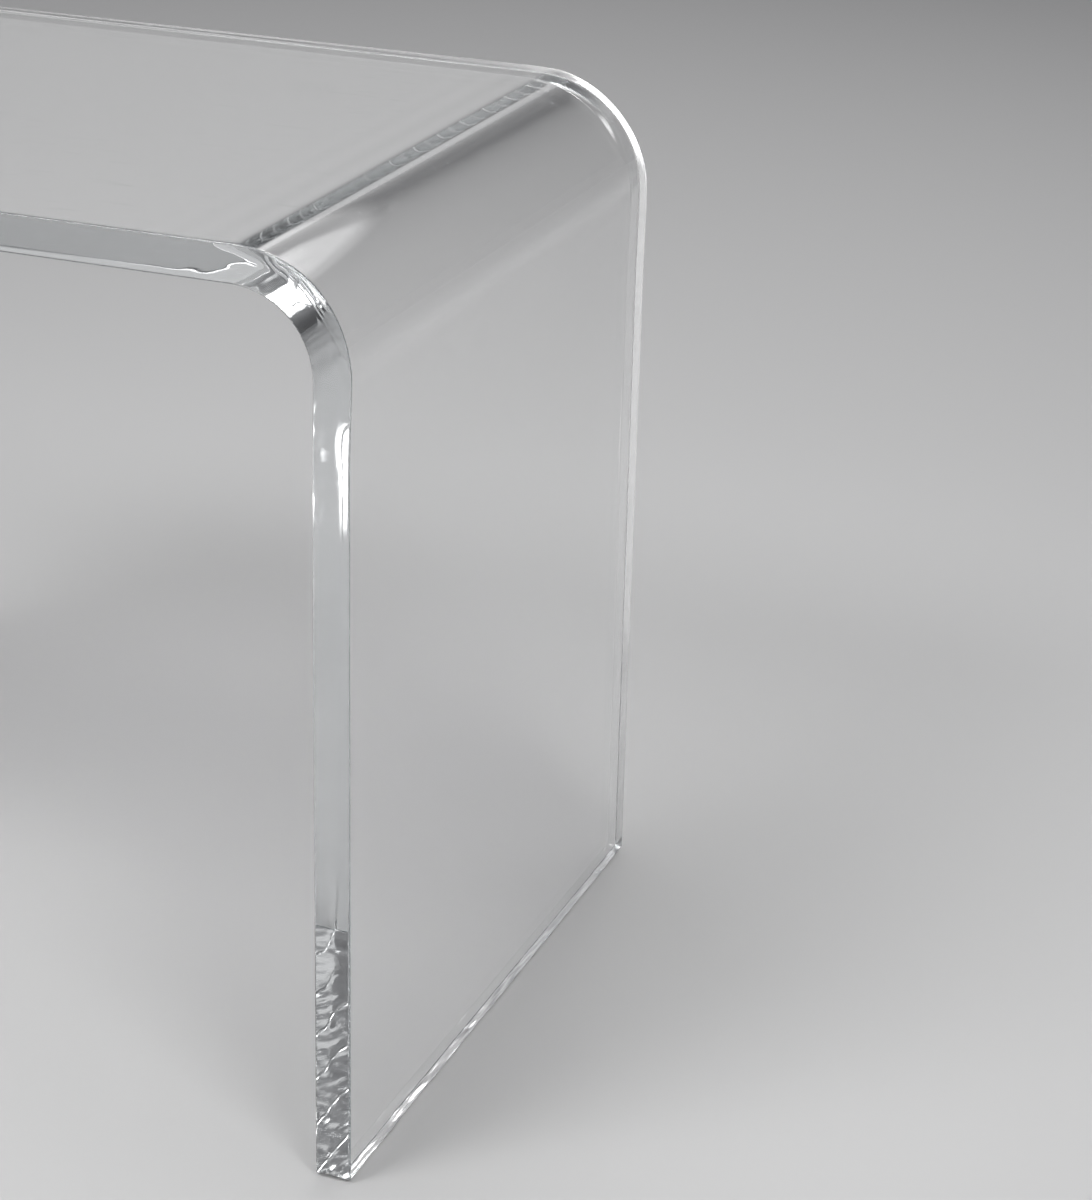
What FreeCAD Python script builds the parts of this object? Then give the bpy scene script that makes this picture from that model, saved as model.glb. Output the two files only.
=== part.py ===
import FreeCAD, Part
import math
import os
import Sketcher

# Sled end table: one thick clear acrylic sheet, heat-bent into a top and two legs,
# on four small clear bumpers stuck under the foot edges.
# Millimetres. Origin on the floor under the middle of the top, +X towards the right leg,
# +Y towards the back, +Z up.

DRIVING_DIMENSIONS = [
    ("table_width", 559.0, "outside of one leg to outside of the other"),
    ("table_depth", 381.0, "front edge to back edge"),
    ("sheet_height", 457.0, "foot edge of the sheet to the top face"),
    ("sheet_thickness", 18.2, "nominal three-quarter inch cast sheet"),
    ("bend_inner_radius", 39.0, "radius of the former that the sheet was bent over"),
    ("arris_ease", 0.8, "leg of the small polished chamfer along every edge"),
    ("bumper_diameter", 12.7, "side of the bumper that is stuck to the sheet"),
    ("bumper_thickness", 1.6, "foot edge of the sheet to the floor"),
    ("bumper_flank_lean", 0.75, "how far the flank leans in towards the floor"),
    ("bumper_rim_round", 0.4, "rounding of the rim on the floor side"),
    ("bumper_end_inset", 48.0, "front or back edge to the middle of a bumper"),
]

LEG_SIDES = {"left": -1, "right": 1}
LEG_ENDS = {"front": -1, "rear": 1}

# How a sketch counts its two axes, the points of a line or arc, and its own origin.
LEVEL_AXIS, UPRIGHT_AXIS = range(-1, -3, -1)
START, END, CENTRE = range(1, 4)
ROOT_POINT = (LEVEL_AXIS, START)

EXACT = 1e-6


def add_dimensions(doc):
    """Spreadsheet with one named cell for each driving dimension."""
    sheet = doc.addObject("Spreadsheet::Sheet", "dims")
    for row, (name, value, note) in enumerate(DRIVING_DIMENSIONS, start=1):
        sheet.set(f"A{row}", name)
        sheet.set(f"B{row}", str(value))
        sheet.set(f"C{row}", note)
        sheet.setAlias(f"B{row}", name)
    doc.recompute()
    return sheet


def origin_feature(body, role):
    """Origin plane or axis of a body, found by its role."""
    return next(f for f in body.Origin.OriginFeatures if f.Role == role)


def add_sketch(body, name, plane_role):
    sketch = body.newObject("Sketcher::SketchObject", name)
    sketch.AttachmentSupport = (origin_feature(body, plane_role), [""])
    sketch.MapMode = "FlatFace"
    return sketch


def add_datum(sketch, name, expression, *constraint):
    """Named dimension of a sketch, bound to the spreadsheet."""
    index = sketch.addConstraint(Sketcher.Constraint(*constraint))
    sketch.renameConstraint(index, name)
    sketch.setExpression(f"Constraints.{name}", expression)


def line(start, end):
    return Part.LineSegment(FreeCAD.Vector(*start, 0), FreeCAD.Vector(*end, 0))


def arc(centre, radius, start_angle, end_angle):
    circle = Part.Circle(FreeCAD.Vector(*centre, 0), FreeCAD.Vector(0, 0, 1), radius)
    return Part.ArcOfCircle(circle, start_angle, end_angle)


def draw_sheet_profile(sketch, dims):
    """Closed outline of the bent sheet, seen from the front: feet, legs, bends and top."""
    half = dims.table_width / 2
    inner_half = half - dims.sheet_thickness
    foot = dims.bumper_thickness
    top = foot + dims.sheet_height
    under = top - dims.sheet_thickness
    inner = dims.bend_inner_radius
    outer = inner + dims.sheet_thickness
    bend_x = half - outer
    bend_z = top - outer
    quarter = math.pi / 2

    left_out = sketch.addGeometry(line((-half, foot), (-half, bend_z)))
    left_outer_bend = sketch.addGeometry(arc((-bend_x, bend_z), outer, quarter, 2 * quarter))
    top_face = sketch.addGeometry(line((-bend_x, top), (bend_x, top)))
    right_outer_bend = sketch.addGeometry(arc((bend_x, bend_z), outer, 0, quarter))
    right_out = sketch.addGeometry(line((half, bend_z), (half, foot)))
    right_foot = sketch.addGeometry(line((half, foot), (inner_half, foot)))
    right_in = sketch.addGeometry(line((inner_half, foot), (inner_half, bend_z)))
    right_inner_bend = sketch.addGeometry(arc((bend_x, bend_z), inner, 0, quarter))
    underside = sketch.addGeometry(line((bend_x, under), (-bend_x, under)))
    left_inner_bend = sketch.addGeometry(arc((-bend_x, bend_z), inner, quarter, 2 * quarter))
    left_in = sketch.addGeometry(line((-inner_half, bend_z), (-inner_half, foot)))
    left_foot = sketch.addGeometry(line((-inner_half, foot), (-half, foot)))

    tangent_ends = [
        (left_out, END, left_outer_bend, END),
        (left_outer_bend, START, top_face, START),
        (top_face, END, right_outer_bend, END),
        (right_outer_bend, START, right_out, START),
        (right_in, END, right_inner_bend, START),
        (right_inner_bend, END, underside, START),
        (underside, END, left_inner_bend, START),
        (left_inner_bend, END, left_in, START),
    ]
    foot_corners = [
        (right_out, END, right_foot, START),
        (right_foot, END, right_in, START),
        (left_in, END, left_foot, START),
        (left_foot, END, left_out, START),
    ]
    bend_centres = [
        (left_outer_bend, CENTRE, left_inner_bend, CENTRE),
        (right_outer_bend, CENTRE, right_inner_bend, CENTRE),
    ]
    for joint in tangent_ends:
        sketch.addConstraint(Sketcher.Constraint("Tangent", *joint))
    for corner in foot_corners + bend_centres:
        sketch.addConstraint(Sketcher.Constraint("Coincident", *corner))
    for upright in (left_out, right_out, right_in, left_in):
        sketch.addConstraint(Sketcher.Constraint("Vertical", upright))
    for level in (right_foot, underside, left_foot):
        sketch.addConstraint(Sketcher.Constraint("Horizontal", level))

    sketch.addConstraint(Sketcher.Constraint("Symmetric", top_face, START, top_face, END, UPRIGHT_AXIS))
    sketch.addConstraint(Sketcher.Constraint("Equal", left_inner_bend, right_inner_bend))
    add_datum(sketch, "width", "dims.table_width", "DistanceX",
              left_out, END, right_out, START, dims.table_width)
    add_datum(sketch, "thickness", "dims.sheet_thickness", "DistanceX",
              right_in, START, right_out, END, dims.sheet_thickness)
    add_datum(sketch, "inner_radius", "dims.bend_inner_radius", "Radius", right_inner_bend, inner)
    add_datum(sketch, "height", "dims.sheet_height", "DistanceY",
              right_out, END, top_face, END, dims.sheet_height)
    add_datum(sketch, "right_foot_level", "dims.bumper_thickness", "DistanceY",
              *ROOT_POINT, right_out, END, foot)
    add_datum(sketch, "left_foot_level", "dims.bumper_thickness", "DistanceY",
              *ROOT_POINT, left_out, START, foot)


def arris_edges(shape, dims):
    """Names of the edges round the front and back faces and along the foot edges."""
    half_depth = dims.table_depth / 2
    foot = dims.bumper_thickness
    names = []
    for number, edge in enumerate(shape.Edges, start=1):
        box = edge.BoundBox
        on_front = abs(box.YMin + half_depth) < EXACT and abs(box.YMax + half_depth) < EXACT
        on_back = abs(box.YMin - half_depth) < EXACT and abs(box.YMax - half_depth) < EXACT
        on_foot = abs(box.ZMin - foot) < EXACT and abs(box.ZMax - foot) < EXACT
        if on_front or on_back or on_foot:
            names.append(f"Edge{number}")
    return names


def add_bent_sheet(doc, dims):
    body = doc.addObject("PartDesign::Body", "bent_acrylic_sheet")
    body.Label = "bent_acrylic_sheet"
    profile = add_sketch(body, "sheet_profile", "XZ_Plane")
    draw_sheet_profile(profile, dims)
    pad = body.newObject("PartDesign::Pad", "sheet_depth")
    pad.Profile = profile
    pad.SideType = "Symmetric"
    pad.setExpression("Length", "dims.table_depth")
    doc.recompute()
    ease = body.newObject("PartDesign::Chamfer", "eased_arrises")
    ease.Base = (pad, arris_edges(pad.Shape, dims))
    ease.setExpression("Size", "dims.arris_ease")
    return body


def draw_bumper_section(sketch, dims):
    """Half section of a bumper: wide where it is stuck on, a little narrower on the floor."""
    stuck = dims.bumper_diameter / 2
    floor = stuck - dims.bumper_flank_lean
    thick = dims.bumper_thickness
    floor_side = sketch.addGeometry(line((0, 0), (floor, 0)))
    flank = sketch.addGeometry(line((floor, 0), (stuck, thick)))
    stuck_side = sketch.addGeometry(line((stuck, thick), (0, thick)))
    middle = sketch.addGeometry(line((0, thick), (0, 0)))
    outline = [floor_side, flank, stuck_side, middle]
    for piece, following in zip(outline, outline[1:] + outline[:1]):
        sketch.addConstraint(Sketcher.Constraint("Coincident", piece, END, following, START))
    sketch.addConstraint(Sketcher.Constraint("Coincident", floor_side, START, *ROOT_POINT))
    sketch.addConstraint(Sketcher.Constraint("Horizontal", floor_side))
    sketch.addConstraint(Sketcher.Constraint("Horizontal", stuck_side))
    sketch.addConstraint(Sketcher.Constraint("Vertical", middle))
    add_datum(sketch, "floor_radius", "dims.bumper_diameter / 2 - dims.bumper_flank_lean", "DistanceX",
              floor_side, START, floor_side, END, floor)
    add_datum(sketch, "stuck_radius", "dims.bumper_diameter / 2", "DistanceX",
              stuck_side, END, stuck_side, START, stuck)
    add_datum(sketch, "thickness", "dims.bumper_thickness", "DistanceY",
              middle, END, middle, START, thick)


def floor_rim(shape):
    """Name of the round edge that lies on the floor."""
    for number, edge in enumerate(shape.Edges, start=1):
        if abs(edge.BoundBox.ZMax) < EXACT and isinstance(edge.Curve, Part.Circle):
            return f"Edge{number}"
    raise RuntimeError("the bumper has no rim on the floor")


def add_bumper(doc, dims, end_name, side_name):
    name = f"floor_bumper_{end_name}_{side_name}"
    body = doc.addObject("PartDesign::Body", name)
    body.Label = name
    section = add_sketch(body, f"section_{end_name}_{side_name}", "XZ_Plane")
    draw_bumper_section(section, dims)
    turned = body.newObject("PartDesign::Revolution", f"turned_{end_name}_{side_name}")
    turned.Profile = section
    turned.ReferenceAxis = (section, ["V_Axis"])
    turned.Angle = 360
    doc.recompute()
    rim = body.newObject("PartDesign::Fillet", f"rim_{end_name}_{side_name}")
    rim.Base = (turned, [floor_rim(turned.Shape)])
    rim.setExpression("Radius", "dims.bumper_rim_round")
    side = LEG_SIDES[side_name]
    end = LEG_ENDS[end_name]
    body.setExpression("Placement.Base.x", f"{side} * (dims.table_width - dims.sheet_thickness) / 2")
    body.setExpression("Placement.Base.y", f"{end} * (dims.table_depth / 2 - dims.bumper_end_inset)")
    return body


def check(doc, pieces):
    """Stops if anything failed to build."""
    for item in doc.Objects:
        if "Invalid" in item.State or "Error" in item.State:
            raise RuntimeError(f"{item.Name} failed: {item.State}")
    for piece in pieces:
        if piece.Shape.isNull() or not piece.Shape.isValid() or len(piece.Shape.Solids) != 1:
            raise RuntimeError(f"{piece.Label} is not one valid solid")


def main():
    doc = FreeCAD.newDocument("sled_end_table")
    dims = add_dimensions(doc)
    pieces = [add_bent_sheet(doc, dims)]
    for end_name in LEG_ENDS:
        for side_name in LEG_SIDES:
            pieces.append(add_bumper(doc, dims, end_name, side_name))
    doc.recompute()
    check(doc, pieces)
    os.makedirs("parts", exist_ok=True)
    for piece in pieces:
        piece.Shape.exportStep(f"parts/{piece.Label}.step")
        box = piece.Shape.BoundBox
        print(f"{piece.Label}: volume {piece.Shape.Volume:.1f} mm3, "
              f"{box.XLength:.2f} x {box.YLength:.2f} x {box.ZLength:.2f} mm, "
              f"z {box.ZMin:.2f} to {box.ZMax:.2f}")


main()
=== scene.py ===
import bpy
import math
from mathutils import Matrix, Vector


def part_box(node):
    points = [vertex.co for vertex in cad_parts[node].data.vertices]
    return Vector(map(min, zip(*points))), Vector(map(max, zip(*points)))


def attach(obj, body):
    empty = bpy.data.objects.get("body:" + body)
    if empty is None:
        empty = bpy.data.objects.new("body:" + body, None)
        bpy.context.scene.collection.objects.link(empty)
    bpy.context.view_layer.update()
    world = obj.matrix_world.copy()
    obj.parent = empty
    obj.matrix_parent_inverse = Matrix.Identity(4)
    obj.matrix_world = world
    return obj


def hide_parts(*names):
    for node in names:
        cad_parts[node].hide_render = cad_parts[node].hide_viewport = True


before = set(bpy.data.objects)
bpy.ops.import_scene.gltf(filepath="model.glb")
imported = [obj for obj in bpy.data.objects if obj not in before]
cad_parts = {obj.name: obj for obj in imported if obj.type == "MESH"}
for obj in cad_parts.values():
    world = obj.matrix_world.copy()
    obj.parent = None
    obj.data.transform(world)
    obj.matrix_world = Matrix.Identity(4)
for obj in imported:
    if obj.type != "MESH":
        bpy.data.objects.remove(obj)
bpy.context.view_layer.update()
print("frame loaded:", ", ".join(sorted(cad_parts)))


# small helpers for building node trees

def setSocket(tree, socket, value):
    if isinstance(value, bpy.types.NodeSocket):
        tree.links.new(value, socket)
    else:
        socket.default_value = value


def addNode(tree, kind, inputs=None, **settings):
    node = tree.nodes.new(kind)
    for name, value in settings.items():
        setattr(node, name, value)
    for name, value in (inputs or {}).items():
        setSocket(tree, node.inputs[name], value)
    return node


def calc(tree, operation, *values):
    node = addNode(tree, "ShaderNodeMath", operation=operation)
    for socket, value in zip(node.inputs, values):
        setSocket(tree, socket, value)
    return node.outputs[0]


def vector(tree, x, y, z):
    return addNode(tree, "ShaderNodeCombineXYZ", {"X": x, "Y": y, "Z": z}).outputs[0]


def remap(tree, value, low, high, newLow, newHigh, kind="SMOOTHSTEP"):
    node = addNode(tree, "ShaderNodeMapRange", interpolation_type=kind)
    for socket, entry in zip(node.inputs, (value, low, high, newLow, newHigh)):
        setSocket(tree, socket, entry)
    return node.outputs[0]


def newTree(name, kind, inputs, outputs):
    tree = bpy.data.node_groups.new(name, kind)
    for label, socketKind in inputs:
        tree.interface.new_socket(name=label, in_out="INPUT", socket_type=socketKind)
    for label, socketKind in outputs:
        tree.interface.new_socket(name=label, in_out="OUTPUT", socket_type=socketKind)
    return tree, tree.nodes.new("NodeGroupInput").outputs, tree.nodes.new("NodeGroupOutput").inputs


# shader group of marks, and the materials that use it

marksPattern = {
    "smudgeSqueeze": (1.0, 1.0, 2.2),     # smudges are wider than high
    "smudgeDetail": 5.0,
    "smudgeRoughness": 0.6,
    "smudgeDistortion": 0.4,
    "smudgeRange": (0.59, 0.72),          # noise at which a smudge begins and is full
    "scratchTurns": ((0.3, 0.5, 0.9), (1.1, 0.2, 2.3)),  # two sets of scratches cross, in radians
    "scratchSqueeze": (1.0, 45.0, 45.0),
    "scratchDetail": 1.0,
    "scratchRange": (0.76, 0.8),
    "dustCells": 0.7,                     # cells whose random number is above this hold a speck
    "dustSize": 0.035,                    # radius of a speck, in spacings
}


def surfaceMarksGroup():
    # fingerprints, hairline scratches and dust, as one haze mask and one height
    pattern = marksPattern
    inputs = [("Vector", "NodeSocketVector")]
    inputs += [(name, "NodeSocketFloat") for name in (
        "Smudge Size", "Smudge Amount", "Scratch Length", "Scratch Amount", "Dust Spacing", "Dust Amount")]
    outputs = [("Haze", "NodeSocketFloat"), ("Relief", "NodeSocketFloat")]
    tree, given, out = newTree("surfaceMarks", "ShaderNodeTree", inputs, outputs)
    place = given["Vector"]
    flattened = addNode(tree, "ShaderNodeMapping", {"Vector": place, "Scale": pattern["smudgeSqueeze"]})
    smudge = addNode(tree, "ShaderNodeTexNoise", {
        "Vector": flattened.outputs[0], "Scale": calc(tree, "DIVIDE", 1.0, given["Smudge Size"]),
        "Detail": pattern["smudgeDetail"], "Roughness": pattern["smudgeRoughness"],
        "Distortion": pattern["smudgeDistortion"]})
    smudged = remap(tree, smudge.outputs[0], *pattern["smudgeRange"], 0.0, given["Smudge Amount"])
    scratched = 0.0
    for turn in pattern["scratchTurns"]:
        turned = addNode(tree, "ShaderNodeMapping", {
            "Vector": place, "Rotation": turn, "Scale": pattern["scratchSqueeze"]})
        streak = addNode(tree, "ShaderNodeTexNoise", {
            "Vector": turned.outputs[0], "Scale": calc(tree, "DIVIDE", 1.0, given["Scratch Length"]),
            "Detail": pattern["scratchDetail"]})
        shown = remap(tree, streak.outputs[0], *pattern["scratchRange"], 0.0, 1.0)
        scratched = calc(tree, "MAXIMUM", scratched, shown)
    scratches = calc(tree, "MULTIPLY", scratched, given["Scratch Amount"])
    speck = addNode(tree, "ShaderNodeTexVoronoi", {
        "Vector": place, "Scale": calc(tree, "DIVIDE", 1.0, given["Dust Spacing"])})
    cell = addNode(tree, "ShaderNodeSeparateColor", {"Color": speck.outputs["Color"]}).outputs[0]
    held = calc(tree, "GREATER_THAN", cell, pattern["dustCells"])
    near = calc(tree, "LESS_THAN", speck.outputs["Distance"], pattern["dustSize"])
    dusty = calc(tree, "MULTIPLY", calc(tree, "MULTIPLY", near, held), given["Dust Amount"])
    marked = calc(tree, "MAXIMUM", smudged, scratches)
    setSocket(tree, out["Haze"], calc(tree, "MAXIMUM", marked, dusty))
    setSocket(tree, out["Relief"], calc(tree, "MULTIPLY", scratches, -1.0))
    return tree


surfaceMarks = surfaceMarksGroup()


def principled(name, colour):
    material = bpy.data.materials.new(name)
    material.use_nodes = True
    tree = material.node_tree
    tree.nodes.clear()
    shader = addNode(tree, "ShaderNodeBsdfPrincipled", {"Base Color": colour})
    addNode(tree, "ShaderNodeOutputMaterial", {"Surface": shader.outputs[0]})
    return material, shader


def clearMaterial(name, look):
    # see-through, with the marks of its look placed over the surface
    material, shader = principled(name, look["colour"])
    shader.inputs["IOR"].default_value = look["ior"]
    shader.inputs["Transmission Weight"].default_value = 1.0
    tree = material.node_tree
    place = addNode(tree, "ShaderNodeTexCoord").outputs["Object"]
    marks = addNode(tree, "ShaderNodeGroup", {"Vector": place, **look["marks"]}, node_tree=surfaceMarks)
    return material, shader, marks.outputs


acrylicLook = {
    "colour": (1.0, 1.0, 1.0, 1.0),
    "ior": 1.49,
    "absorbed": (0.912, 0.926, 0.93, 1.0),  # over the long way through an edge the sheet looks faintly cool
    "density": 3.5,                         # per metre
    "hazeRoughness": 0.09,
    "scratchDepth": 0.00001,
    "footBand": 0.6,                        # share of an arris's rounding that is sanded with the foot edge
    "footRoughness": (0.054, 0.126),        # the foot edges are sawn and sanded, not polished
    "sandingDepth": 0.00003,                # sanding lines along them
    "sandingSpacing": 0.0009,
    "sandingSqueeze": (1.0, 0.08, 0.0),
    "sandingDetail": 2.0,
    "sandingRange": (0.3, 0.7),
    "marks": {"Smudge Size": 0.07, "Smudge Amount": 0.8, "Scratch Length": 0.045, "Scratch Amount": 0.5,
              "Dust Spacing": 0.017, "Dust Amount": 1.0},
}


def clearAcrylic(footLevel, ease):
    look = acrylicLook
    material, shader, marks = clearMaterial("clear_acrylic", look)
    tree = material.node_tree
    place = tree.nodes["Texture Coordinate"].outputs["Object"]
    height = addNode(tree, "ShaderNodeSeparateXYZ", {"Vector": place}).outputs["Z"]
    onFoot = calc(tree, "LESS_THAN", height, footLevel + look["footBand"] * ease)
    squeezed = addNode(tree, "ShaderNodeMapping", {"Vector": place, "Scale": look["sandingSqueeze"]})
    sanding = addNode(tree, "ShaderNodeTexNoise", {
        "Vector": squeezed.outputs[0], "Scale": 1.0 / look["sandingSpacing"],
        "Detail": look["sandingDetail"]}).outputs[0]
    hazy = calc(tree, "MULTIPLY", marks["Haze"], look["hazeRoughness"])
    dull = remap(tree, sanding, *look["sandingRange"], *look["footRoughness"])
    sanded = calc(tree, "MULTIPLY", onFoot, dull)
    setSocket(tree, shader.inputs["Roughness"], calc(tree, "MAXIMUM", hazy, sanded))
    lines = calc(tree, "MULTIPLY", calc(tree, "MULTIPLY", sanding, look["sandingDepth"]), onFoot)
    depth = calc(tree, "MULTIPLY_ADD", marks["Relief"], look["scratchDepth"], lines)
    relief = addNode(tree, "ShaderNodeBump", {"Height": depth, "Strength": 1.0, "Distance": 1.0})
    setSocket(tree, shader.inputs["Normal"], relief.outputs[0])
    volume = addNode(tree, "ShaderNodeVolumeAbsorption", {
        "Color": look["absorbed"], "Density": look["density"]})
    setSocket(tree, tree.nodes["Material Output"].inputs["Volume"], volume.outputs[0])
    return material


bumperLook = {
    "colour": (0.93, 0.93, 0.9, 1.0),
    "ior": 1.5,
    "roughness": 0.16,
    "hazeRoughness": 0.3,                   # more of it under the marks
    "scratchStrength": 0.4,
    "scratchDepth": 0.0001,
    "marks": {"Smudge Size": 0.004, "Smudge Amount": 0.6, "Scratch Length": 0.006, "Scratch Amount": 0.3,
              "Dust Spacing": 0.003, "Dust Amount": 1.0},
}


def clearBumper():
    look = bumperLook
    material, shader, marks = clearMaterial("clear_bumper", look)
    tree = material.node_tree
    rough = calc(tree, "MULTIPLY_ADD", marks["Haze"], look["hazeRoughness"], look["roughness"])
    setSocket(tree, shader.inputs["Roughness"], rough)
    relief = addNode(tree, "ShaderNodeBump", {
        "Height": marks["Relief"], "Strength": look["scratchStrength"], "Distance": look["scratchDepth"]})
    setSocket(tree, shader.inputs["Normal"], relief.outputs[0])
    return material


# the sheet: a flat cut blank, bent twice over a former

sheetLow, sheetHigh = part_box("bent_acrylic_sheet")
bumperLow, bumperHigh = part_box("floor_bumper_rear_right")
sheet = {
    "width": sheetHigh.x - sheetLow.x,
    "depth": sheetHigh.y - sheetLow.y,
    "thickness": 0.0182,
    "innerBend": 0.039,
    "ease": 0.0008,               # rounding of every arris
    "easeSteps": 3,
    "easeAngle": 25,              # an edge that turns by more degrees than this is an arris
    "flatWeight": 60,             # how much the larger faces rule the shading beside an arris
    "bendSpacing": 0.0025,        # between mesh rings, in and beside the bends
    "flatSpacing": 0.01,
    "bendMargin": 0.06,           # length beside a bend that was warmed with it
    "columns": 97,                # mesh lines from front to back
    "columnCrowding": 1.2,        # above 1, they crowd towards the front and back edges
    "layers": 21,                 # mesh lines through the thickness
    "thinning": 0.035,            # share of the thickness drawn off in the middle of a bend
    "heatSpread": 0.8,            # half bends over which the heat falls off
    "heatWave": 0.00003,          # soft waves in and beside a bend, along its line
    "heatWaveLength": 0.017,
    "heatWaveReach": (0.9, 2.6),  # half bends from the middle of a bend at which they begin to fade, and end
    "legTuck": 0.0008,            # legs stand this far inside the swell under a bend
    "tuckReach": (0.9, 2.4),      # half bends from the middle of a bend over which they step in
    "edgeLean": 0.0017,           # how far the edge face of a bend leans in, from inner to outer arris
    "edgeRoll": 0.003,            # and how far its outer arris is drawn in beyond that
    "rollStart": 0.7,             # share of the thickness at which that begins
    "leanFade": 0.8,              # thicknesses over which both fade, in from the edge
    "ripple": 0.0002,             # the polished edges are grooved a little along their length
    "rippleLength": 0.35,
    "rippleWidth": 0.0075,
    "rippleRoughness": 0.4,
    "rippleShift": 7.0,           # sets the grooves at the front apart from those at the back
    "edgeTolerance": 0.00001,     # mesh points nearer than this to the front or back are on the edge
    "footWave": 0.0012,           # the foot edges were sawn and sanded by hand, so they are uneven
    "footWaveSize": 0.0075,
    "footWaveStretch": 2.0,       # longer along the edge than across it
    "footWaveRoughness": 0.3,
    "footWaveShift": 5.0,         # sets the left foot apart from the right one
    "footFlat": 0.25,             # noise below this leaves the edge flat
    "bumperClearing": 2.5,        # radii from the middle of a bumper at which the edge is fully uneven again
    "bondLine": 0.00005,          # adhesive film between foot edge and bumper
    "bumperPlace": (bumperLow.y + bumperHigh.y) / 2,   # from the middle of the depth
    "bumperRadius": (bumperHigh.y - bumperLow.y) / 2,
}
sheet["footLevel"] = sheetLow.z + sheet["bondLine"]
sheet["height"] = sheetHigh.z - sheet["footLevel"]
sheetNumbers = {  # named inputs of the sheet's tree
    "Width": sheet["width"], "Depth": sheet["depth"], "Height": sheet["height"],
    "Foot Level": sheet["footLevel"], "Thickness": sheet["thickness"], "Inner Bend": sheet["innerBend"],
    "Bend Spacing": sheet["bendSpacing"], "Flat Spacing": sheet["flatSpacing"],
    "Bend Margin": sheet["bendMargin"], "Thinning": sheet["thinning"], "Edge Lean": sheet["edgeLean"],
    "Edge Roll": sheet["edgeRoll"], "Roll Start": sheet["rollStart"], "Leg Tuck": sheet["legTuck"],
    "Ripple": sheet["ripple"], "Ripple Length": sheet["rippleLength"], "Ripple Width": sheet["rippleWidth"],
    "Heat Wave": sheet["heatWave"], "Heat Wave Length": sheet["heatWaveLength"],
    "Foot Wave": sheet["footWave"], "Foot Wave Size": sheet["footWaveSize"],
    "Bumper Place": sheet["bumperPlace"], "Bumper Radius": sheet["bumperRadius"],
}
quarterTurn = math.pi / 2


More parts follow.
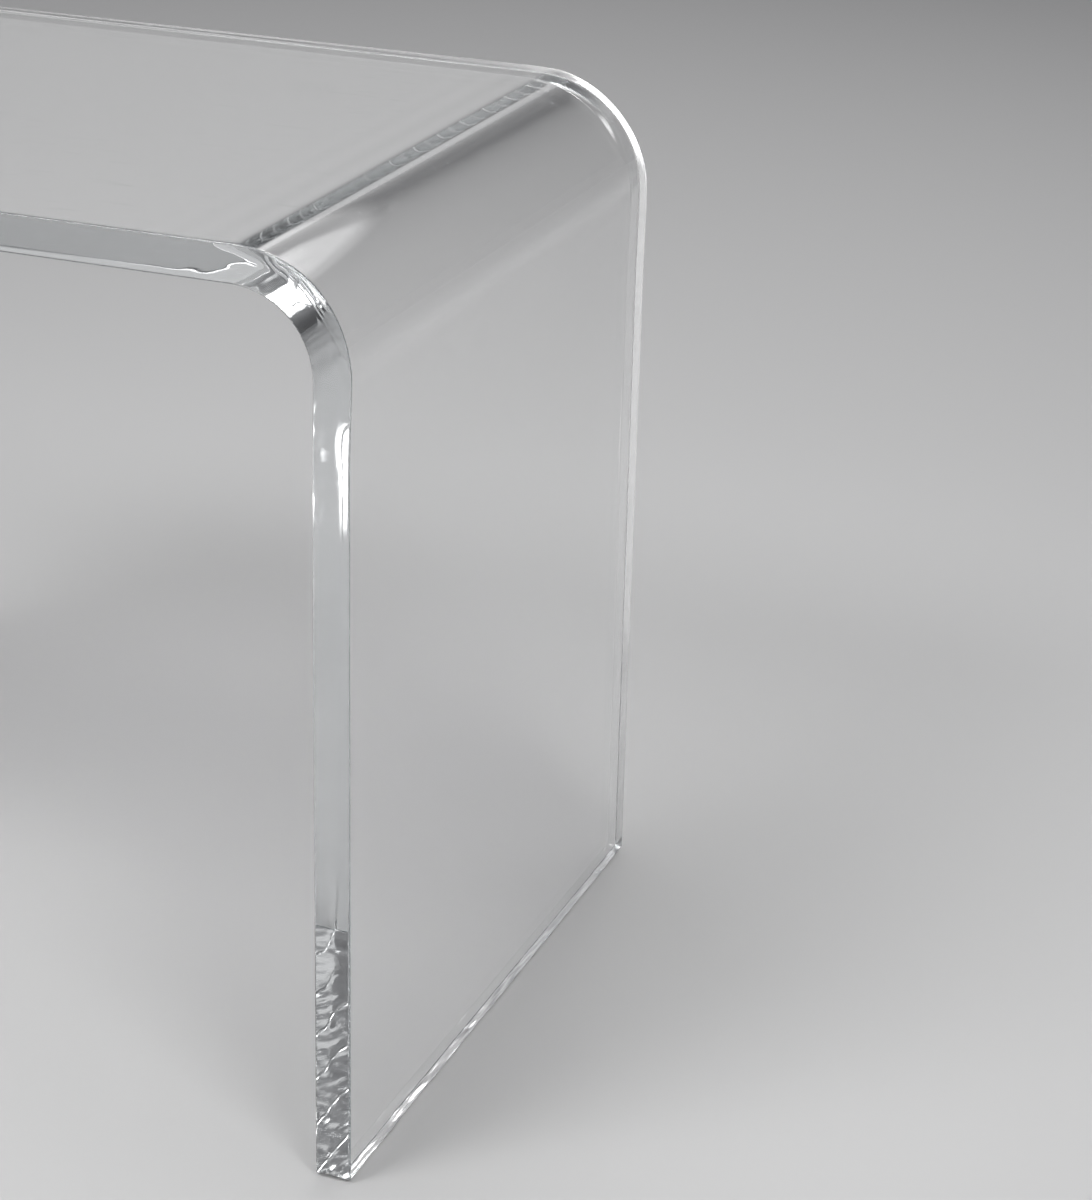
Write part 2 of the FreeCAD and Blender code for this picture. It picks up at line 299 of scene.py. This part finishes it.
def bentSheetTree():
    inputs = [(label, "NodeSocketFloat") for label in sheetNumbers]
    inputs += [("Columns", "NodeSocketInt"), ("Layers", "NodeSocketInt"), ("Material", "NodeSocketMaterial")]
    tree, given, out = newTree("bentSheet", "GeometryNodeTree", inputs, [("Geometry", "NodeSocketGeometry")])
    thickness = given["Thickness"]
    halfWidth = calc(tree, "DIVIDE", given["Width"], 2.0)
    halfDepth = calc(tree, "DIVIDE", given["Depth"], 2.0)
    outerBend = calc(tree, "ADD", given["Inner Bend"], thickness)
    neutral = calc(tree, "MULTIPLY_ADD", thickness, 0.5, given["Inner Bend"])  # radius in mid thickness
    flat = calc(tree, "SUBTRACT", halfWidth, outerBend)
    arc = calc(tree, "MULTIPLY", neutral, quarterTurn)
    halfArc = calc(tree, "MULTIPLY", arc, 0.5)
    leg = calc(tree, "SUBTRACT", given["Height"], outerBend)
    bendEnd = calc(tree, "ADD", flat, arc)

    position = tree.nodes.new("GeometryNodeInputPosition").outputs[0]
    ring, across, through = addNode(tree, "ShaderNodeSeparateXYZ", {"Vector": position}).outputs
    hand = calc(tree, "SIGN", ring)      # left or right half
    face = calc(tree, "SIGN", across)    # front or back half
    ringCount = calc(tree, "ABSOLUTE", ring)

    # stretches of the half blank from its middle out, each with its length and the gap between its mesh rings
    margin = given["Bend Margin"]
    stretches = [(calc(tree, "SUBTRACT", flat, margin), given["Flat Spacing"]),
                 (calc(tree, "MULTIPLY_ADD", margin, 2.0, arc), given["Bend Spacing"]),
                 (calc(tree, "SUBTRACT", leg, margin), given["Flat Spacing"])]
    reach = 0.0
    halfRings = 0.0
    for length, gap in stretches:
        end = calc(tree, "ADD", halfRings, calc(tree, "ROUND", calc(tree, "DIVIDE", length, gap)))
        reach = calc(tree, "ADD", reach, remap(tree, ringCount, halfRings, end, 0.0, length, "LINEAR"))
        halfRings = end
    along = calc(tree, "MULTIPLY", reach, hand)
    blank = addNode(tree, "GeometryNodeMeshCube", {
        "Size": vector(tree, calc(tree, "MULTIPLY", halfRings, 2.0), given["Depth"], thickness),
        "Vertices X": calc(tree, "MULTIPLY_ADD", halfRings, 2.0, 1.0),
        "Vertices Y": given["Columns"], "Vertices Z": given["Layers"]})

    # distance in from the front or back edge
    share = calc(tree, "DIVIDE", calc(tree, "ABSOLUTE", across), halfDepth)
    crowded = calc(tree, "POWER", calc(tree, "SUBTRACT", 1.0, share), sheet["columnCrowding"])
    inset = calc(tree, "MULTIPLY", crowded, halfDepth)

    # 0 in the middle of a bend, -1 and 1 at its ends
    bendMiddle = calc(tree, "ADD", halfArc, flat)
    bendPlace = calc(tree, "DIVIDE", calc(tree, "SUBTRACT", reach, bendMiddle), halfArc)
    spread = calc(tree, "DIVIDE", bendPlace, sheet["heatSpread"])
    heat = calc(tree, "EXPONENT", calc(tree, "MULTIPLY", calc(tree, "MULTIPLY", spread, spread), -1.0))

    # distance from the former, less where the hot sheet was stretched
    offFormer = calc(tree, "MULTIPLY_ADD", thickness, 0.5, through)
    kept = calc(tree, "SUBTRACT", 1.0, calc(tree, "MULTIPLY", given["Thinning"], heat))
    phase = calc(tree, "DIVIDE", calc(tree, "MULTIPLY", reach, math.tau), given["Heat Wave Length"])
    swing = calc(tree, "SUBTRACT", calc(tree, "SINE", phase), 1.0)
    dip = calc(tree, "MULTIPLY", swing, calc(tree, "MULTIPLY", given["Heat Wave"], 0.5))
    warmth = remap(tree, calc(tree, "ABSOLUTE", bendPlace), *sheet["heatWaveReach"], 1.0, 0.0)
    stretched = calc(tree, "MULTIPLY_ADD", offFormer, kept, given["Inner Bend"])
    radius = calc(tree, "ADD", stretched, calc(tree, "MULTIPLY", warmth, dip))

    # along the top, round the bend and down the leg
    beyond = calc(tree, "MAXIMUM", calc(tree, "SUBTRACT", reach, flat), 0.0)
    turn = calc(tree, "MINIMUM", calc(tree, "DIVIDE", beyond, neutral), quarterTurn)
    drop = calc(tree, "MAXIMUM", calc(tree, "SUBTRACT", reach, bendEnd), 0.0)
    tuck = calc(tree, "MULTIPLY", remap(tree, bendPlace, *sheet["tuckReach"], 0.0, 1.0), given["Leg Tuck"])
    onTop = calc(tree, "MINIMUM", reach, flat)
    outward = calc(tree, "MULTIPLY_ADD", radius, calc(tree, "SINE", turn), onTop)
    x = calc(tree, "MULTIPLY", calc(tree, "SUBTRACT", outward, tuck), hand)
    bendLevel = calc(tree, "ADD", given["Foot Level"], leg)
    upward = calc(tree, "MULTIPLY_ADD", radius, calc(tree, "COSINE", turn), bendLevel)
    level = calc(tree, "SUBTRACT", upward, drop)

    # the cut foot edge is uneven, but flat where a bumper is stuck on
    onFoot = calc(tree, "GREATER_THAN", ringCount, calc(tree, "SUBTRACT", halfRings, 0.5))
    fromMiddle = calc(tree, "SUBTRACT", halfDepth, inset)
    fromBumper = calc(tree, "ABSOLUTE", calc(tree, "SUBTRACT", fromMiddle, given["Bumper Place"]))
    clearFrom = calc(tree, "MULTIPLY", given["Bumper Radius"], sheet["bumperClearing"])
    clear = remap(tree, fromBumper, given["Bumper Radius"], clearFrom, 0.0, 1.0)
    waveSize = given["Foot Wave Size"]
    waveLength = calc(tree, "MULTIPLY", waveSize, sheet["footWaveStretch"])
    uneven = addNode(tree, "ShaderNodeTexNoise", {
        "Vector": vector(tree, calc(tree, "DIVIDE", through, waveSize),
                         calc(tree, "DIVIDE", calc(tree, "MULTIPLY", fromMiddle, face), waveLength),
                         calc(tree, "MULTIPLY", hand, sheet["footWaveShift"])),
        "Scale": 1.0, "Detail": 1.0, "Roughness": sheet["footWaveRoughness"]})
    hollow = calc(tree, "MAXIMUM", calc(tree, "SUBTRACT", uneven.outputs[0], sheet["footFlat"]), 0.0)
    lift = calc(tree, "MULTIPLY", onFoot, given["Foot Wave"])
    z = calc(tree, "ADD", level, calc(tree, "MULTIPLY", calc(tree, "MULTIPLY", hollow, clear), lift))

    # the edge face of a bend leans in and rolls over at its outer arris, and the polish left it rippled
    fadeLength = calc(tree, "MULTIPLY", thickness, -sheet["leanFade"])
    fade = calc(tree, "EXPONENT", calc(tree, "DIVIDE", inset, fadeLength))
    depthShare = calc(tree, "DIVIDE", offFormer, thickness)
    rolled = remap(tree, depthShare, given["Roll Start"], 1.0, 0.0, 1.0, "LINEAR")
    leaned = calc(tree, "MULTIPLY", depthShare, given["Edge Lean"])
    drawn = calc(tree, "MULTIPLY_ADD", calc(tree, "MULTIPLY", rolled, rolled), given["Edge Roll"], leaned)
    lean = calc(tree, "MULTIPLY", calc(tree, "MULTIPLY", drawn, heat), fade)
    wave = addNode(tree, "ShaderNodeTexNoise", {
        "Vector": vector(tree, calc(tree, "DIVIDE", along, given["Ripple Length"]),
                         calc(tree, "MULTIPLY", face, sheet["rippleShift"]),
                         calc(tree, "DIVIDE", through, given["Ripple Width"])),
        "Scale": 1.0, "Detail": 1.0, "Roughness": sheet["rippleRoughness"]})
    onEdge = calc(tree, "LESS_THAN", inset, sheet["edgeTolerance"])
    rippled = calc(tree, "MULTIPLY", calc(tree, "MULTIPLY", wave.outputs[0], given["Ripple"]), onEdge)
    inward = calc(tree, "ADD", inset, calc(tree, "ADD", lean, rippled))
    y = calc(tree, "MULTIPLY", calc(tree, "SUBTRACT", halfDepth, inward), face)

    bent = addNode(tree, "GeometryNodeSetPosition", {
        "Geometry": blank.outputs["Mesh"], "Position": vector(tree, x, y, z)})
    smooth = addNode(tree, "GeometryNodeSetShadeSmooth", {"Geometry": bent.outputs[0]})
    real = addNode(tree, "GeometryNodeRealizeInstances", {"Geometry": smooth.outputs[0]})
    finished = addNode(tree, "GeometryNodeSetMaterial", {
        "Geometry": real.outputs[0], "Material": given["Material"]})
    setSocket(tree, out["Geometry"], finished.outputs[0])
    return tree


def shapeByTree(name, tree, values):
    piece = bpy.data.objects.new(name, bpy.data.meshes.new(name))
    bpy.context.scene.collection.objects.link(piece)
    modifier = piece.modifiers.new("shape", "NODES")
    modifier.node_group = tree
    for item in tree.interface.items_tree:
        if item.item_type == "SOCKET" and item.in_out == "INPUT":
            modifier[item.identifier] = values[item.name]
    return piece


def toPlainMesh(piece):
    bpy.context.view_layer.update()
    shaped = piece.evaluated_get(bpy.context.evaluated_depsgraph_get())
    mesh = bpy.data.meshes.new_from_object(shaped)
    piece.modifiers.clear()
    piece.data = mesh
    mesh.name = piece.name


def buildSheet():
    piece = shapeByTree("bentSheet", bentSheetTree(), {
        **sheetNumbers, "Columns": sheet["columns"], "Layers": sheet["layers"],
        "Material": clearAcrylic(sheet["footLevel"], sheet["ease"])})
    eased = piece.modifiers.new("eased arrises", "BEVEL")
    eased.width = sheet["ease"]
    eased.segments = sheet["easeSteps"]
    eased.limit_method = "ANGLE"
    eased.angle_limit = math.radians(sheet["easeAngle"])
    shading = piece.modifiers.new("flat faces", "WEIGHTED_NORMAL")
    shading.weight = sheet["flatWeight"]
    toPlainMesh(piece)
    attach(piece, "root")
    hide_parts("bent_acrylic_sheet")
    print("bent sheet:", len(piece.data.polygons), "faces")


buildSheet()

# the bumpers keep their solids and get their finish
bumperFinish = clearBumper()
for name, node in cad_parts.items():
    if name.startswith("floor_bumper"):
        node.data.materials.clear()
        node.data.materials.append(bumperFinish)
print("bumpers finished")


# floor, light and camera

studio = {
    "floorSize": 60.0,
    "floorColour": (0.55, 0.55, 0.55, 1.0),
    "floorRoughness": 0.9,
    "floorSpecular": 0.1,
    "horizon": (0.06, 0.06, 0.063, 1.0),
    "zenith": (0.3, 0.3, 0.31, 1.0),
    "skyRange": (0.1, 0.9),    # heights on the sky between which one blends into the other
    "bounces": 96,             # light runs along the sheet by many reflections
}
# place, aim, width, height, watts, share of a side over which the light fades, beam in degrees
softboxes = {
    "overhead": ((0.1, 0.2, 2.3), (0.1, 0.1, 0.0), 2.6, 2.2, 20.0, 0.35, 180),
    "frontKey": ((-0.5, -1.2, 1.8), (-0.4, -0.8, 0.0), 1.2, 0.9, 22.0, 0.35, 180),
    "rightKey": ((1.4, -1.1, 1.85), (0.25, -0.19, 0.44), 0.8, 0.8, 16.0, 0.25, 180),
    "rearPanel": ((-1.35, 2.7, 1.3), (0.0, 0.0, 0.45), 3.0, 1.5, 3.0, 0.35, 180),
    "rearStrip": ((-0.1, 2.3, 2.2), (0.1, 0.0, 0.45), 1.2, 0.6, 8.0, 0.35, 180),
    "rearRight": ((0.188, 2.109, 2.09), (-0.372, -0.331, 1.21), 1.65, 0.825, 4.8, 0.07, 180),
    # small gridded lamps: three behind the right leg, for the glints on its bend and under it
    "lowInside": ((0.1215, 0.55, 0.119), (0.2895, 0.19, 0.267), 0.03, 0.086, 0.000022, 0.4, 6),
    "lowOutside": ((0.437, 0.55, 0.121), (0.269, 0.19, 0.269), 0.03, 0.085, 0.000022, 0.4, 6),
    "bendGlint": ((0.109, 0.551, 0.222), (0.196, 0.191, 0.451), 0.09, 0.07, 0.00058, 0.25, 16),
    # and two at the back of the right bend, one under it and one above it, for its double white rim
    "rimGlint": ((0.1965, 0.1136, 0.3847), (0.251, 0.186, 0.427), 0.06, 0.06, 0.0001, 0.2, 18),
    "rimStrip": ((0.336, 0.257, 0.5), (0.262, 0.188, 0.436), 0.06, 0.115, 0.0035, 0.3, 48),
}
photoCamera = {
    "place": (0.7963, -1.3095, 0.8175),
    "heading": 20.79,          # degrees to the left of +Y
    "dip": 22.59,
    "roll": 1.47,
    "focal": 3025.0,           # in pixels of the 1092 x 1200 frame
    "longSide": 1200,
    "sensor": 36.0,
}


def buildFloor():
    half = studio["floorSize"] / 2
    corners = [(-half, -half, 0), (half, -half, 0), (half, half, 0), (-half, half, 0)]
    mesh = bpy.data.meshes.new("floor")
    mesh.from_pydata(corners, [], [(0, 1, 2, 3)])
    floor = bpy.data.objects.new("floor", mesh)
    bpy.context.scene.collection.objects.link(floor)
    material, shader = principled("pale_floor", studio["floorColour"])
    shader.inputs["Roughness"].default_value = studio["floorRoughness"]
    shader.inputs["Specular IOR Level"].default_value = studio["floorSpecular"]
    mesh.materials.append(material)


def buildWorld():
    world = bpy.data.worlds.new("studio")
    world.use_nodes = True
    tree = world.node_tree
    tree.nodes.clear()
    way = addNode(tree, "ShaderNodeTexCoord").outputs["Generated"]
    lift = addNode(tree, "ShaderNodeSeparateXYZ", {"Vector": way}).outputs["Z"]
    blend = addNode(tree, "ShaderNodeMix", data_type="RGBA")
    setSocket(tree, blend.inputs["Factor"], remap(tree, lift, *studio["skyRange"], 0.0, 1.0))
    blend.inputs[6].default_value = studio["horizon"]    # the colour pair among the node's inputs
    blend.inputs[7].default_value = studio["zenith"]
    light = addNode(tree, "ShaderNodeBackground", {"Color": blend.outputs[2]})
    addNode(tree, "ShaderNodeOutputWorld", {"Surface": light.outputs[0]})
    bpy.context.scene.world = world


def buildSoftboxes():
    for name, (place, aim, width, height, watts, softEdge, beam) in softboxes.items():
        data = bpy.data.lights.new(name, "AREA")
        data.shape = "RECTANGLE"
        data.size = width
        data.size_y = height
        data.energy = watts
        data.spread = math.radians(beam)
        data.use_nodes = True
        tree = data.node_tree
        tree.nodes.clear()
        spot = addNode(tree, "ShaderNodeNewGeometry").outputs["Parametric"]
        sides = addNode(tree, "ShaderNodeSeparateXYZ", {"Vector": spot}).outputs[:2]
        full = 1.0 / (1.0 - softEdge)        # makes up for what the faded sides lose
        glow = 1.0
        for side in sides:
            toEdge = calc(tree, "MINIMUM", side, calc(tree, "SUBTRACT", 1.0, side))
            glow = calc(tree, "MULTIPLY", glow, remap(tree, toEdge, 0.0, softEdge, 0.0, full))
        shine = addNode(tree, "ShaderNodeEmission", {"Strength": glow})
        addNode(tree, "ShaderNodeOutputLight", {"Surface": shine.outputs[0]})
        lamp = bpy.data.objects.new(name, data)
        bpy.context.scene.collection.objects.link(lamp)
        lamp.location = place
        lamp.rotation_euler = (Vector(aim) - Vector(place)).to_track_quat("-Z", "Y").to_euler()
        lamp.visible_camera = False


def buildCamera():
    data = bpy.data.cameras.new("photo")
    data.sensor_width = photoCamera["sensor"]
    data.lens = photoCamera["focal"] * data.sensor_width / photoCamera["longSide"]
    camera = bpy.data.objects.new("photo", data)
    bpy.context.scene.collection.objects.link(camera)
    turn = (Matrix.Rotation(math.radians(photoCamera["heading"]), 4, "Z")
            @ Matrix.Rotation(math.radians(90 - photoCamera["dip"]), 4, "X")
            @ Matrix.Rotation(math.radians(photoCamera["roll"]), 4, "Z"))
    camera.matrix_world = Matrix.Translation(photoCamera["place"]) @ turn
    bpy.context.scene.camera = camera


buildFloor()
buildWorld()
buildSoftboxes()
buildCamera()
scene = bpy.context.scene
scene.view_settings.view_transform = "Standard"
scene.cycles.max_bounces = studio["bounces"]
scene.cycles.glossy_bounces = studio["bounces"]
scene.cycles.transmission_bounces = studio["bounces"]
print("studio built")
